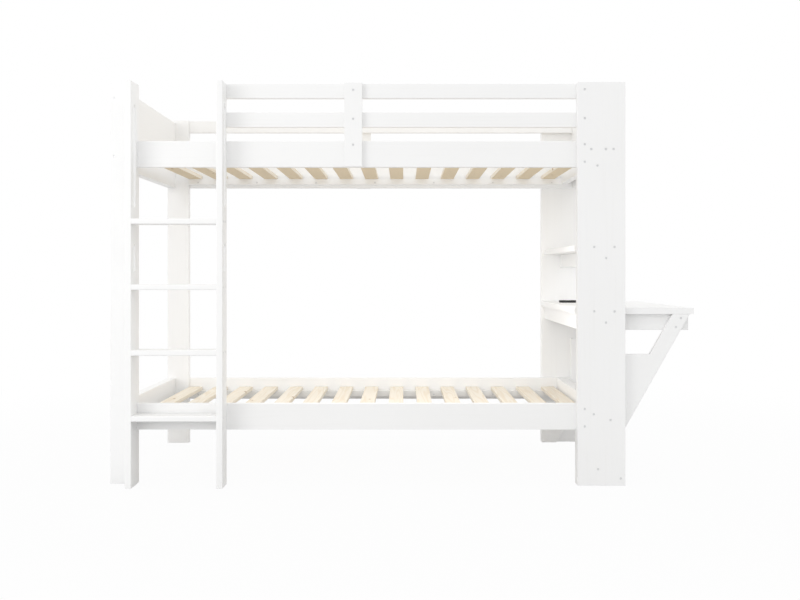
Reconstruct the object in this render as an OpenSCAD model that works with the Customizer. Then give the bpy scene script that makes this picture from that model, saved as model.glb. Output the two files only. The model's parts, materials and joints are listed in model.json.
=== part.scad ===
// Bunk bed: two parallel bunks on slats, an upright ladder at the front left, and wide
// posts at the right end that carry a shelf and a desk as long as the bed is wide.
// Millimetres. +X runs from the ladder end to the desk, +Y from the front to the back,
// +Z is up. The origin is on the floor, under the middle of the bounding box.

/* [Mattress space] */
// Length of the mattress space, from the left end boards to the right end rails
bed_l = 1935; // [1860:5:2060]
// Width of the mattress space, between the side rails
bed_w = 1000; // [960:5:1400]

/* [Levels] */
// Floor to the underside of the lower side rails
lower_rail_z = 219; // [160:1:260]
// Floor to the underside of the upper side rails
upper_rail_z = 1278; // [1240:1:1400]
// Underside of a side rail to the underside of its slats
slat_seat = 44; // [40:1:70]
// Floor to the desk's top surface
desk_h = 710; // [640:1:760]
// Floor to the shelf's top surface
shelf_h = 968; // [900:1:1080]
// How far the upper end boards stop below the post tops
end_board_drop = 12; // [0:1:60]

/* [Posts] */
// Width of the left posts
post_w = 107; // [90:1:120]
// Thickness of the left posts
post_t = 38; // [34:1:50]
// Width of the right posts, which hold the desk and the shelf
wide_post_w = 192; // [182:1:230]
// Thickness of the right posts
wide_post_t = 38; // [30:1:50]
// Inner edge of the right posts to the inner face of the right end rails
cross_inset = 95; // [80:1:104]

/* [Rails and boards] */
// Height of the side rails, the right end rails and the lower end board
rail_h = 106; // [96:1:140]
// Thickness of the side rails and the guard rails
rail_t = 25; // [22:1:32]
// Thickness of the end boards
end_board_t = 40; // [28:1:44]
// Thickness of the right end rails and of the cross rails under the desk and shelf
cross_t = 38; // [30:1:44]
// Underside of a side rail to the underside of its right end rail
end_rail_lift = 22; // [0:1:26]
// Thickness of the facing on the lower right end rail
facing_t = 20; // [10:1:22]
// Height of a guard rail
guard_h = 60; // [50:1:75]
// Gap between two guard rails, and between the lower one and the side rail
guard_gap = 56; // [45:1:75]
// Left outer face to the left edge of the centre uprights
upright_x = 946; // [800:1:1100]
// Width of a centre upright
upright_w = 72; // [50:1:100]
// Thickness of a centre upright
upright_t = 25; // [18:1:30]

/* [Slats] */
// Number of slats in each bunk
slat_n = 15; // [12:1:16]
// Width of a slat
slat_w = 65; // [50:1:70]
// Thickness of a slat
slat_t = 18; // [15:1:24]
// Gap between the last slat and the right end rail
slat_end_gap = 35; // [24:1:60]
// Height of the ledgers that carry the slats
ledger_h = 28; // [24:1:40]
// Thickness of the ledgers that carry the slats
ledger_t = 30; // [22:1:40]

/* [Ladder] */
// How far the ladder's left stile laps over the front of the left post
stile_lap = 23; // [18:1:50]
// Depth of the ladder's stiles, front to back
stile_d = 98; // [80:1:120]
// Thickness of the ladder's stiles
stile_t = 25; // [22:1:32]
// How far the stiles stop below the post tops
stile_drop = 4; // [0:1:20]
// Clear width between the stiles
rung_l = 336; // [300:1:420]
// Thickness of a rung
rung_t = 22; // [18:1:30]
// Setback of the rungs' back edges from the back of the stiles
rung_setback = 8; // [0:1:20]
// Floor to the middle of the lowest rung
rung_first_z = 275; // [240:1:300]
// Spacing of the rungs
rung_pitch = 260; // [240:1:275]
// Width of the grip slots through the stiles
slot_w = 30; // [24:1:36]
// Middle of a grip slot to the back edge of the stile
slot_back = 38; // [30:1:50]
// Middle of a rung to the grip slot above it
slot_rise = 62; // [50:1:80]
// Grip slot to the middle of the rung above it, or to the stile's top
slot_drop = 87; // [70:1:100]

/* [Desk and shelf] */
// How far the desk reaches beyond the right posts
desk_reach = 284; // [220:1:420]
// Thickness of the desk top
desk_t = 25; // [18:1:30]
// Height of the desk's aprons and of the cross rail under the desk
apron_h = 65; // [55:1:90]
// Thickness of the desk's aprons
apron_t = 25; // [18:1:30]
// Setback of the aprons from the desk's left and right edges
apron_inset = 16; // [8:1:30]
// Thickness of the shelf
shelf_t = 25; // [18:1:30]
// Setback of the shelf from the posts' edges
shelf_inset = 15; // [0:1:25]
// Height of the cross rail under the shelf
shelf_rail_h = 64; // [50:1:90]

/* [Desk brackets] */
// How far the foot of a brace stands out past its post
brace_foot = 4; // [0:1:20]
// Width of a brace
brace_w = 60; // [50:1:75]
// Thickness of a brace
brace_t = 25; // [18:1:32]
// Thickness of the gusset panel between a brace and its post
gusset_t = 25; // [18:1:30]
// Gap between the apron and the gusset panel below it
bracket_gap = 97; // [60:1:120]
// How far a brace and its gusset reach in behind their post
bracket_lap = 48; // [40:1:54]

/* [Cable grommet] */
// Left edge of the desk top to the middle of the grommet
grommet_x = 97; // [75:1:115]
// Back edge of the desk top to the middle of the grommet
grommet_y = 255; // [120:1:400]
// Diameter of the hole in the desk top
grommet_hole_d = 80; // [70:1:84]
// Wall thickness of the grommet's sleeve
sleeve_wall = 2.5; // [2:0.5:4]
// Width of the sleeve's rim on the desk top
rim_w = 5; // [4:0.5:7]
// Thickness of the sleeve's rim
rim_t = 3; // [2:0.5:4]
// Depth of the sleeve below the desk's surface
sleeve_depth = 20; // [15:0.5:24]
// Diameter of the turning cap
cap_d = 92; // [90:1:100]
// Thickness of the cap's disc
cap_t = 7; // [5:0.5:10]
// Depth of the cap's spigot inside the sleeve
spigot_h = 8; // [6:0.5:12]
// Radial clearance of the cap's spigot in the sleeve
spigot_clear = 0.5; // [0.3:0.1:0.8]
// Gap between the cap's disc and the sleeve's rim
cap_lift = 0.4; // [0.3:0.1:0.6]
// Width of the cable slot in the cap
cable_slot_w = 18; // [14:1:24]
// How far the cable slot reaches in from the sleeve's wall
cable_slot_l = 18; // [14:1:24]
// Height of the cable notch in the cross rail under the grommet
cable_notch_h = 30; // [20:1:40]

/* [Screws and dowels] */
// Diameter of a screw's head
head_d = 9; // [7:0.5:12]
// Thickness of a screw's head
head_t = 3; // [2:0.5:4]
// How deep the heads sit below the wood's surface
head_sink = 0.6; // [0.2:0.1:1.5]
// Diameter of a screw's shank
shank_d = 5; // [4:0.5:6]
// How far a screw bites into the piece behind the first one
screw_bite = 20; // [15:1:21]
// Radial clearance of the screws and dowels in their holes
hole_clear = 0.1; // [0.05:0.05:0.2]
// Inner edge of the right posts to the screws of the rails
rail_screw_x = 29; // [20:1:40]
// Edge of a rail to its nearest screw or dowel
rail_screw_edge = 18; // [14:1:26]
// Diameter of a slat screw's head
small_head_d = 7; // [6:0.5:9]
// Diameter of a slat or ledger screw's shank
small_shank_d = 4; // [3:0.5:4.5]
// How far a slat screw bites into its ledger
slat_bite = 12; // [8:1:12]
// Number of screws in a ledger
ledger_screw_n = 7; // [4:1:9]
// End of a ledger to its nearest screw
ledger_screw_end = 50; // [30:5:80]
// Outer edge of a brace to its screws
brace_screw_edge = 27; // [18:1:36]
// Floor to the screw in a foot block
foot_screw_z = 66; // [50:1:100]
// Top of an upper side rail to the screws of the upper right end board
end_screw_drop = 37; // [28:1:50]
// Diameter of a dowel
dowel_d = 8; // [6:1:10]
// Length of a dowel
dowel_l = 30; // [24:2:36]

/* [Hidden] */

$fn = 32;
white = [0.95, 0.95, 0.94];
pine = [0.90, 0.78, 0.58];
steel = [0.68, 0.69, 0.71];
black = [0.05, 0.05, 0.06];
eps = 1;            // how far a cut runs past a face

// Places along X
length = end_board_t + bed_l - cross_inset + wide_post_w + desk_reach;
x_left = -length / 2;
x_bed0 = x_left + end_board_t;
x_post1 = x_left + post_w;
x_cross0 = x_bed0 + bed_l;
x_cross1 = x_cross0 + cross_t;
x_cross = (x_cross0 + x_cross1) / 2;
x_wide0 = x_cross0 - cross_inset;
x_wide1 = x_wide0 + wide_post_w;
x_rail1 = x_wide1 - end_board_t;
x_bracket0 = x_wide1 - bracket_lap;
x_desk1 = x_wide1 + desk_reach;
x_apron1 = x_desk1 - apron_inset;
x_stile = x_post1 - stile_lap;
x_rung0 = x_stile + stile_t;
x_rung1 = x_rung0 + rung_l;
x_upright = x_left + upright_x;

// Places along Y: the outer faces of the side rails are the planes that all else is set to
depth = stile_d + bed_w + 2 * rail_t + wide_post_t;
y_front = stile_d - depth / 2;
y_rear = y_front + bed_w + 2 * rail_t;
y_mid = (y_front + y_rear) / 2;
y_bed0 = y_front + rail_t;
y_bed1 = y_rear - rail_t;
y_ladder = y_front - stile_d;
y_apron = y_front + brace_t;

// Heights
upper_rail_top = upper_rail_z + rail_h;
middle_guard_z = upper_rail_top + guard_gap;
top_guard_z = middle_guard_z + guard_h + guard_gap;
post_h = top_guard_z + guard_h;
end_board_top = post_h - end_board_drop;
stile_h = post_h - stile_drop;
desk_under = desk_h - desk_t;
apron_z = desk_under - apron_h;
gusset_top = apron_z - bracket_gap;
shelf_under = shelf_h - shelf_t;

// Slats, rungs and braces
slat_clear = 1.5;   // at both ends of a slat, and beside the left posts
slat_x0 = x_post1 + slat_clear;
slat_pitch = (x_cross0 - slat_end_gap - slat_w - slat_x0) / (slat_n - 1);
rung_d = stile_d - rung_setback;
function rung_z(k) = rung_first_z + (k - 1) * rung_pitch;

// X of the outer edge of a brace, its gusset and its foot block, at a height
brace_angle = atan2(desk_under - lower_rail_z, x_apron1 - x_wide1 - brace_foot);
function brace_edge(z) = x_apron1 - (desk_under - z) / tan(brace_angle);

// The middle of the grommet
grommet_at = [x_wide0 + grommet_x, y_rear - grommet_y, desk_h];
sleeve_r = grommet_hole_d / 2 - hole_clear;
sleeve_bore_r = sleeve_r - sleeve_wall;

// ---- Helpers ----

// A board between two opposite corners
module board(low, high) {
    translate(low) cube(high - low);
}

// The same thing at the back of the bed
module at_back() {
    translate([0, 2 * y_mid, 0]) mirror([0, 1, 0]) children();
}

module front_and_back() {
    children();
    at_back() children();
}

// A screw that points along +Z, with its head below the surface at z = 0
module screw(reach, head = head_d, shank = shank_d) {
    color(steel) translate([0, 0, head_sink]) {
        cylinder(d = head, h = head_t);
        cylinder(d = shank, h = reach - head_sink);
    }
}

// The hole for a screw: its sink ends where the head rests
module screw_hole(reach, head = head_d, shank = shank_d) {
    translate([0, 0, -eps])
        cylinder(r = head / 2 + 3 * hole_clear, h = head_sink + head_t + eps);
    cylinder(r = shank / 2 + hole_clear, h = reach + eps);
}

module dowel() {
    color(pine) cylinder(d = dowel_d, h = dowel_l, center = true);
}

module dowel_hole() {
    cylinder(r = dowel_d / 2 + hole_clear, h = dowel_l, center = true);
}

// ---- Where the screws and dowels are ----

// Screws through a right post: [x, z] from the middle of the cross rails
rail_screws = [for (z = [lower_rail_z, upper_rail_z], dz = [rail_screw_edge, rail_h - rail_screw_edge])
    [x_wide0 + rail_screw_x, z + dz]];
guard_screws = [for (z = [middle_guard_z, top_guard_z]) [x_wide0 + rail_screw_x, z + guard_h / 2]];
board_screw_dx = [-47, 34];
board_screws = [for (z = [desk_under + desk_t / 2, shelf_under + shelf_t / 2], dx = board_screw_dx)
    [x_cross + dx, z]];
cross_screws = [[x_cross, apron_z + apron_h / 2], [x_cross, shelf_under - shelf_rail_h / 2]];
upper_end_screw_dx = [-59, -1, 30];
lower_end_screw_at = [[-49, rail_h - 39], [18, 44]];
end_screws = concat([for (dx = upper_end_screw_dx) [x_cross + dx, upper_rail_top - end_screw_drop]],
    [for (at = lower_end_screw_at) [x_cross + at[0], lower_rail_z + at[1]]]);
// One screw holds a foot block to its post
foot_screws = [[brace_edge(foot_screw_z) - brace_screw_edge, foot_screw_z]];
// Two short screws hold nothing that can be seen
short_screws = [[x_cross - 34, upper_rail_z + 3], [x_wide1 - 19, 29]];

module at_xz(places, y) {
    for (p = places) translate([p[0], y, p[1]]) rotate([-90, 0, 0]) children();
}

module at_front_right_screws(with_guards = true) {
    at_xz(concat(rail_screws, board_screws, cross_screws, end_screws, foot_screws,
        with_guards ? guard_screws : [guard_screws[1]]), y_front - wide_post_t) children();
}

module at_short_screws() {
    at_xz(short_screws, y_front - wide_post_t) children();
}

// Screws through a left post into the end of the headboard
module at_left_screws() {
    at_xz([for (z = [upper_rail_z + 45, end_board_top - 47])
        [x_left + end_board_t / 2 - 4, z]], y_front) children();
}

// Screws through a centre upright into the rails behind it
module at_upright_screws(with_middle = true) {
    at_xz([for (z = [upper_rail_top - rail_screw_edge, top_guard_z + guard_h / 2])
        [x_upright + upright_w / 2, z]], y_front - upright_t) children();
    if (with_middle)
        at_xz([[x_upright + upright_w / 2, middle_guard_z + guard_h / 2]],
            y_front - upright_t) children();
}

// Screws from outside the stiles into the ends of the rungs
module at_rung_screws() {
    for (k = [1 : 4], y = [y_ladder + rung_d / 4, y_ladder + rung_d * 3 / 4]) {
        translate([x_stile, y, rung_z(k)]) rotate([0, 90, 0]) children();
        translate([x_rung1 + stile_t, y, rung_z(k)]) rotate([0, -90, 0]) children();
    }
}

// Screws from behind into the back edge of the right stile, through the front side rails just
// above the ledgers and near the rails' tops
module at_right_stile_screws() {
    for (z = [lower_rail_z, upper_rail_z], dz = [slat_seat + slat_t * 2 / 3, rail_h - rail_screw_edge])
        translate([x_rung1 + stile_t / 2, y_bed0, z + dz]) rotate([90, 0, 0]) children();
}

// Screws from behind into the back edge of the left stile, through the front post between the
// dowels of the rails and above them
module at_left_stile_screws() {
    for (z = [lower_rail_z, upper_rail_z], dz = [rail_h / 2, rail_h + rail_screw_edge])
        translate([x_stile + stile_t / 2, y_front + post_t, z + dz]) rotate([90, 0, 0]) children();
}

// Screws through a brace into its apron
module at_brace_screws() {
    for (dz = [apron_h / 4, apron_h * 4 / 5])
        translate([brace_edge(desk_under - dz) - brace_screw_edge, y_front, desk_under - dz])
            rotate([-90, 0, 0]) children();
}

// Screws from inside a ledger into its side rail
module at_ledger_screws(rail_z) {
    for (i = [0 : ledger_screw_n - 1])
        translate([x_post1 + ledger_screw_end
            + i * (x_cross0 - x_post1 - 2 * ledger_screw_end) / (ledger_screw_n - 1),
            y_bed0 + ledger_t, rail_z + slat_seat - ledger_h * 2 / 3])
            rotate([90, 0, 0]) children();
}

// Screws down through the slats' ends into the front ledger
module at_slat_screws(rail_z) {
    for (i = [0 : slat_n - 1])
        translate([slat_x0 + i * slat_pitch + slat_w / 2, y_bed0 + ledger_t / 2,
            rail_z + slat_seat + slat_t])
            rotate([180, 0, 0]) children();
}

// Dowels from the left posts into the ends of the rails in front
module at_rail_dowels(front = true) {
    levels = concat([for (z = [lower_rail_z, upper_rail_z], dz = [rail_screw_edge, rail_h - rail_screw_edge])
        z + dz], front ? [] : [top_guard_z + guard_h / 2]);
    for (z = levels)
        translate([x_post1, y_front + rail_t / 2, z]) rotate([0, 90, 0]) children();
}

// Dowels in the ends of the lower left end board, the right end rails and the upper right
// end board
module at_end_dowels() {
    for (z = [upper_rail_z + rail_screw_edge, end_board_top - rail_screw_edge])
        translate([x_wide1 - end_board_t / 2, y_front, z]) rotate([90, 0, 0]) children();
    for (dz = [rail_screw_edge, rail_h - rail_screw_edge])
        translate([x_left + end_board_t / 2, y_front + post_t, lower_rail_z + dz])
            rotate([90, 0, 0]) children();
    for (z = [lower_rail_z, upper_rail_z], dz = [end_rail_lift + rail_screw_edge, rail_h - rail_screw_edge])
        translate([x_cross, y_bed0, z + dz]) rotate([90, 0, 0]) children();
}

// Dowels that join the front apron to the cross rail and the outer apron to it, and a lower
// side rail's end to the brace and the gusset
module at_desk_dowels() {
    for (dz = [rail_screw_edge, apron_h - rail_screw_edge]) {
        translate([x_cross1, y_apron + apron_t / 2, apron_z + dz])
            rotate([0, 90, 0]) children();
        translate([x_apron1 - apron_t / 2, y_apron + apron_t, apron_z + dz])
            rotate([90, 0, 0]) children();
    }
    for (dz = [rail_screw_edge, rail_h - rail_screw_edge])
        translate([x_bracket0, y_front + rail_t / 2, lower_rail_z + dz])
            rotate([0, 90, 0]) children();
}

// ---- Posts ----

module left_post(front) {
    color(white) difference() {
        board([x_left, y_front, 0], [x_post1, y_front + post_t, post_h]);
        at_left_screws() screw_hole(post_t + screw_bite);
        at_end_dowels() dowel_hole();
        at_rail_dowels(front) dowel_hole();
        if (front) at_left_stile_screws() screw_hole(post_t + screw_bite);
    }
}

module front_left_post() {
    left_post(front = true);
}

module rear_left_post() {
    at_back() left_post(front = false);
}

module right_post(with_guards) {
    color(white) difference() {
        board([x_wide0, y_front - wide_post_t, 0], [x_wide1, y_front, post_h]);
        at_front_right_screws(with_guards) screw_hole(wide_post_t + screw_bite);
        at_short_screws() screw_hole(wide_post_t - 2 * head_t);
        at_end_dowels() dowel_hole();
    }
}

module front_right_post() {
    right_post(with_guards = true);
}

module rear_right_post() {
    at_back() right_post(with_guards = false);
}

// ---- Rails ----

module side_rail(rail_z, x_end) {
    color(white) difference() {
        board([x_post1, y_front, rail_z], [x_end, y_bed0, rail_z + rail_h]);
        at_front_right_screws() screw_hole(wide_post_t + screw_bite);
        at_upright_screws() screw_hole(upright_t + screw_bite);
        at_rail_dowels() dowel_hole();
        at_end_dowels() dowel_hole();
        at_desk_dowels() dowel_hole();
        at_ledger_screws(rail_z) screw_hole(ledger_t + screw_bite, small_head_d, small_shank_d);
    }
}

module front_side_rail(rail_z, x_end) {
    color(white) difference() {
        side_rail(rail_z, x_end);
        at_right_stile_screws() screw_hole(rail_t + screw_bite);
    }
}

module front_upper_rail() {
    front_side_rail(upper_rail_z, x_rail1);
}

module rear_upper_rail() {
    at_back() side_rail(upper_rail_z, x_rail1);
}

// A lower side rail ends where its brace and gusset begin
module front_lower_rail() {
    front_side_rail(lower_rail_z, x_bracket0);
}

module rear_lower_rail() {
    at_back() side_rail(lower_rail_z, x_bracket0);
}

// A guard rail that starts behind the ladder's right stile
module front_guard_rail(z) {
    color(white) difference() {
        board([x_rung1, y_front, z], [x_rail1, y_bed0, z + guard_h]);
        at_front_right_screws() screw_hole(wide_post_t + screw_bite);
        at_upright_screws() screw_hole(upright_t + screw_bite);
    }
}

module top_guard_rail() {
    front_guard_rail(top_guard_z);
}

module middle_guard_rail() {
    front_guard_rail(middle_guard_z);
}

module rear_guard_rail() {
    at_back() color(white) difference() {
        board([x_post1, y_front, top_guard_z], [x_rail1, y_bed0, post_h]);
        at_front_right_screws() screw_hole(wide_post_t + screw_bite);
        at_upright_screws() screw_hole(upright_t + screw_bite);
        at_rail_dowels(front = false) dowel_hole();
    }
}

module upright(with_middle) {
    color(white) difference() {
        board([x_upright, y_front - upright_t, upper_rail_z],
            [x_upright + upright_w, y_front, post_h]);
        at_upright_screws(with_middle) screw_hole(upright_t + screw_bite);
    }
}

module front_upright() {
    upright(with_middle = true);
}

module rear_upright() {
    at_back() upright(with_middle = false);
}

// ---- Ends ----

module headboard() {
    color(white) difference() {
        board([x_left, y_front + post_t, upper_rail_z], [x_bed0, y_rear - post_t, end_board_top]);
        front_and_back() at_left_screws() screw_hole(post_t + screw_bite);
    }
}

module lower_left_end_board() {
    color(white) difference() {
        board([x_left, y_front + post_t, lower_rail_z],
            [x_bed0, y_rear - post_t, lower_rail_z + rail_h]);
        front_and_back() at_end_dowels() dowel_hole();
    }
}

module upper_right_end_board() {
    color(white) difference() {
        board([x_rail1, y_front, upper_rail_z], [x_wide1, y_rear, end_board_top]);
        front_and_back() at_end_dowels() dowel_hole();
    }
}

module right_end_rail(rail_z) {
    color(white) difference() {
        board([x_cross0, y_bed0, rail_z + end_rail_lift], [x_cross1, y_bed1, rail_z + rail_h]);
        front_and_back() at_end_dowels() dowel_hole();
    }
}

module upper_right_end_rail() {
    right_end_rail(upper_rail_z);
}

module lower_right_end_rail() {
    right_end_rail(lower_rail_z);
}

// A thinner board between the lower right end rail and the mattress
module lower_end_facing() {
    color(white) board([x_cross0 - facing_t, y_bed0, lower_rail_z + end_rail_lift],
        [x_cross0, y_bed1, lower_rail_z + rail_h]);
}

// ---- Slats and what carries them ----

module ledger(rail_z, x_end) {
    color(white) difference() {
        board([x_post1, y_bed0, rail_z + slat_seat - ledger_h],
            [x_end, y_bed0 + ledger_t, rail_z + slat_seat]);
        at_ledger_screws(rail_z) screw_hole(ledger_t + screw_bite, small_head_d, small_shank_d);
        at_slat_screws(rail_z) screw_hole(slat_t + slat_bite, small_head_d, small_shank_d);
    }
}

module front_upper_ledger() {
    ledger(upper_rail_z, x_cross0);
}

module rear_upper_ledger() {
    at_back() ledger(upper_rail_z, x_cross0);
}

module front_lower_ledger() {
    ledger(lower_rail_z, x_cross0 - facing_t);
}

module rear_lower_ledger() {
    at_back() ledger(lower_rail_z, x_cross0 - facing_t);
}

module slats(rail_z) {
    color(pine) difference() {
        for (i = [0 : slat_n - 1])
            translate([slat_x0 + i * slat_pitch, y_bed0 + slat_clear, rail_z + slat_seat])
                cube([slat_w, bed_w - 2 * slat_clear, slat_t]);
        front_and_back() at_slat_screws(rail_z)
            screw_hole(slat_t + slat_bite, small_head_d, small_shank_d);
    }
}

module upper_slats() {
    slats(upper_rail_z);
}

module lower_slats() {
    slats(lower_rail_z);
}

// ---- Ladder ----

// A slot with round ends through a stile, between two heights
module grip_slot(x, z0, z1) {
    y = y_front - slot_back;
    translate([x - eps, y, 0]) {
        for (z = [z0 + slot_w / 2, z1 - slot_w / 2])
            translate([0, 0, z]) rotate([0, 90, 0]) cylinder(d = slot_w, h = stile_t + 2 * eps);
        translate([0, -slot_w / 2, z0 + slot_w / 2])
            cube([stile_t + 2 * eps, slot_w, z1 - z0 - slot_w]);
    }
}

module stile(x) {
    color(white) difference() {
        board([x, y_ladder, 0], [x + stile_t, y_front, stile_h]);
        grip_slot(x, rung_z(3) + slot_rise, rung_z(4) - slot_drop);
        grip_slot(x, rung_z(4) + slot_rise, stile_h - slot_drop);
        at_rung_screws() screw_hole(stile_t + screw_bite);
        at_left_stile_screws() screw_hole(post_t + screw_bite);
        at_right_stile_screws() screw_hole(rail_t + screw_bite);
    }
}

module left_stile() {
    stile(x_stile);
}

module right_stile() {
    stile(x_rung1);
}

module rung(k) {
    color(white) difference() {
        board([x_rung0, y_ladder, rung_z(k) - rung_t / 2],
            [x_rung1, y_ladder + rung_d, rung_z(k) + rung_t / 2]);
        at_rung_screws() screw_hole(stile_t + screw_bite);
    }
}

// ---- Desk ----

module desk_top() {
    color(white) difference() {
        board([x_wide0, y_front, desk_under], [x_desk1, y_rear, desk_h]);
        front_and_back() at_front_right_screws() screw_hole(wide_post_t + screw_bite);
        translate(grommet_at) cylinder(d = grommet_hole_d, h = 4 * desk_t, center = true, $fn = 96);
    }
}

module apron_beside_bracket() {
    color(white) difference() {
        board([x_cross1, y_apron, apron_z], [x_apron1, y_apron + apron_t, desk_under]);
        at_brace_screws() screw_hole(brace_t + screw_bite);
        at_desk_dowels() dowel_hole();
    }
}

module front_apron() {
    apron_beside_bracket();
}

module rear_apron() {
    at_back() apron_beside_bracket();
}

module inner_apron() {
    color(white) board([x_wide0 + apron_inset, y_front, apron_z],
        [x_wide0 + apron_inset + apron_t, y_rear, desk_under]);
}

module outer_apron() {
    y0 = y_apron + apron_t;
    color(white) difference() {
        board([x_apron1 - apron_t, y0, apron_z], [x_apron1, 2 * y_mid - y0, desk_under]);
        front_and_back() at_desk_dowels() dowel_hole();
    }
}

module desk_cross_rail() {
    color(white) difference() {
        board([x_cross0, y_front, apron_z], [x_cross1, y_rear, desk_under]);
        front_and_back() {
            at_front_right_screws() screw_hole(wide_post_t + screw_bite);
            at_desk_dowels() dowel_hole();
        }
        translate([x_cross0 - eps, grommet_at[1] - grommet_hole_d / 2, desk_under - cable_notch_h])
            cube([cross_t + 2 * eps, grommet_hole_d, cable_notch_h + eps]);
    }
}

// A flat piece in the XZ plane, from outline points, with its front face at y
module upright_panel(points, y, thick) {
    translate([0, y + thick, 0]) rotate([90, 0, 0]) linear_extrude(thick) polygon(points);
}

// A strip behind a right post that lies along the bracket's outer edge, between two distances
// from that edge and two heights, and is cut off upright at its left
module bracket_strip(near, far, z0, z1, x_cut, thick) {
    x_near = near / sin(brace_angle);
    x_far = far / sin(brace_angle);
    difference() {
        upright_panel([[brace_edge(z0) - x_far, z0], [brace_edge(z0) - x_near, z0],
            [brace_edge(z1) - x_near, z1], [brace_edge(z1) - x_far, z1]], y_front, thick);
        translate([x_cut - length, y_front - eps, z0 - eps])
            cube([length, thick + 2 * eps, z1 - z0 + 2 * eps]);
        at_front_right_screws() screw_hole(wide_post_t + screw_bite);
        at_desk_dowels() dowel_hole();
    }
}

module brace() {
    color(white) difference() {
        bracket_strip(0, brace_w, lower_rail_z, desk_under, x_bracket0, brace_t);
        at_brace_screws() screw_hole(brace_t + screw_bite);
    }
}

module front_brace() {
    brace();
}

module rear_brace() {
    at_back() brace();
}

// A block on the floor behind a right post, which carries the lower side rail and the brace
module foot_block() {
    color(white) bracket_strip(0, length / 2, 0, lower_rail_z, x_wide0, brace_t);
}

module front_foot_block() {
    foot_block();
}

module rear_foot_block() {
    at_back() foot_block();
}

// A gusset fills the corner between a brace and its post, flush with the brace
module gusset() {
    color(white) bracket_strip(brace_w, length / 2, lower_rail_z, gusset_top, x_bracket0, gusset_t);
}

module front_gusset() {
    gusset();
}

module rear_gusset() {
    at_back() gusset();
}

// ---- Shelf ----

module shelf() {
    color(white) difference() {
        board([x_wide0 + shelf_inset, y_front, shelf_under],
            [x_wide1 - shelf_inset, y_rear, shelf_h]);
        front_and_back() at_front_right_screws() screw_hole(wide_post_t + screw_bite);
    }
}

module shelf_cross_rail() {
    color(white) difference() {
        board([x_cross0, y_front, shelf_under - shelf_rail_h], [x_cross1, y_rear, shelf_under]);
        front_and_back() at_front_right_screws() screw_hole(wide_post_t + screw_bite);
    }
}

// ---- Grommet ----

module grommet_sleeve() {
    color(black) translate(grommet_at) difference() {
        union() {
            cylinder(r = sleeve_r + rim_w, h = rim_t, $fn = 96);
            translate([0, 0, -sleeve_depth]) cylinder(r = sleeve_r, h = sleeve_depth, $fn = 96);
        }
        translate([0, 0, -sleeve_depth - eps])
            cylinder(r = sleeve_bore_r, h = sleeve_depth + rim_t + 2 * eps, $fn = 96);
    }
}

// The cap turns in the sleeve, and its slot lets cables down through it
module grommet_cap() {
    spigot_r = sleeve_bore_r - spigot_clear;
    color(black) translate(grommet_at + [0, 0, rim_t + cap_lift]) difference() {
        union() {
            cylinder(d = cap_d, h = cap_t, $fn = 96);
            translate([0, 0, -spigot_h]) cylinder(r = spigot_r, h = spigot_h, $fn = 96);
        }
        translate([0, 0, -spigot_h - eps])
            cylinder(r = spigot_r - sleeve_wall, h = spigot_h + eps, $fn = 96);
        translate([-cable_slot_w / 2, spigot_r - cable_slot_l, -spigot_h - eps])
            cube([cable_slot_w, cap_d, spigot_h + cap_t + 2 * eps]);
    }
}

// ---- Fasteners ----

module right_post_screws() {
    at_front_right_screws() screw(wide_post_t + screw_bite);
    at_short_screws() screw(wide_post_t - 2 * head_t);
    at_back() {
        at_front_right_screws(with_guards = false) screw(wide_post_t + screw_bite);
        at_short_screws() screw(wide_post_t - 2 * head_t);
    }
}

module left_post_screws() {
    front_and_back() at_left_screws() screw(post_t + screw_bite);
}

module upright_screws() {
    at_upright_screws() screw(upright_t + screw_bite);
    at_back() at_upright_screws(with_middle = false) screw(upright_t + screw_bite);
}

module ladder_screws() {
    at_rung_screws() screw(stile_t + screw_bite);
}

module stile_screws() {
    at_left_stile_screws() screw(post_t + screw_bite);
    at_right_stile_screws() screw(rail_t + screw_bite);
}

module brace_screws() {
    front_and_back() at_brace_screws() screw(brace_t + screw_bite);
}

module ledger_screws() {
    for (z = [lower_rail_z, upper_rail_z])
        front_and_back() at_ledger_screws(z)
            screw(ledger_t + screw_bite, small_head_d, small_shank_d);
}

module slat_screws() {
    for (z = [lower_rail_z, upper_rail_z])
        front_and_back() at_slat_screws(z)
            screw(slat_t + slat_bite, small_head_d, small_shank_d);
}

module rail_dowels() {
    at_rail_dowels() dowel();
    at_back() at_rail_dowels(front = false) dowel();
}

module end_dowels() {
    front_and_back() at_end_dowels() dowel();
}

module desk_dowels() {
    front_and_back() at_desk_dowels() dowel();
}

front_left_post();
rear_left_post();
front_right_post();
rear_right_post();
front_upper_rail();
rear_upper_rail();
front_lower_rail();
rear_lower_rail();
headboard();
lower_left_end_board();
upper_right_end_board();
upper_right_end_rail();
lower_right_end_rail();
lower_end_facing();
top_guard_rail();
middle_guard_rail();
rear_guard_rail();
front_upright();
rear_upright();
front_upper_ledger();
rear_upper_ledger();
front_lower_ledger();
rear_lower_ledger();
upper_slats();
lower_slats();
left_stile();
right_stile();
rung(1);  // rung_1
rung(2);  // rung_2
rung(3);  // rung_3
rung(4);  // rung_4
desk_top();
front_apron();
rear_apron();
inner_apron();
outer_apron();
desk_cross_rail();
front_brace();
rear_brace();
front_foot_block();
rear_foot_block();
front_gusset();
rear_gusset();
shelf();
shelf_cross_rail();
grommet_sleeve();
grommet_cap();
right_post_screws();
left_post_screws();
upright_screws();
ladder_screws();
stile_screws();
brace_screws();
ledger_screws();
slat_screws();
rail_dowels();
end_dowels();
desk_dowels();
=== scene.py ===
"""Dresses and lights a bunk bed with a ladder, wide right posts, a desk and a shelf.

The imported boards, screws and dowels are the frame. Each board is copied, its edges are eased
as a router eases them, and it gets its paint or its pine. A brace and its gusset become one
bracket first. Each screw gets a head with a hex socket, and the cable grommet gets turned rims.
Lengths are metres: +X runs from the ladder to the desk, +Y from the front to the back and +Z up,
with the floor at zero.
"""

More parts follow.
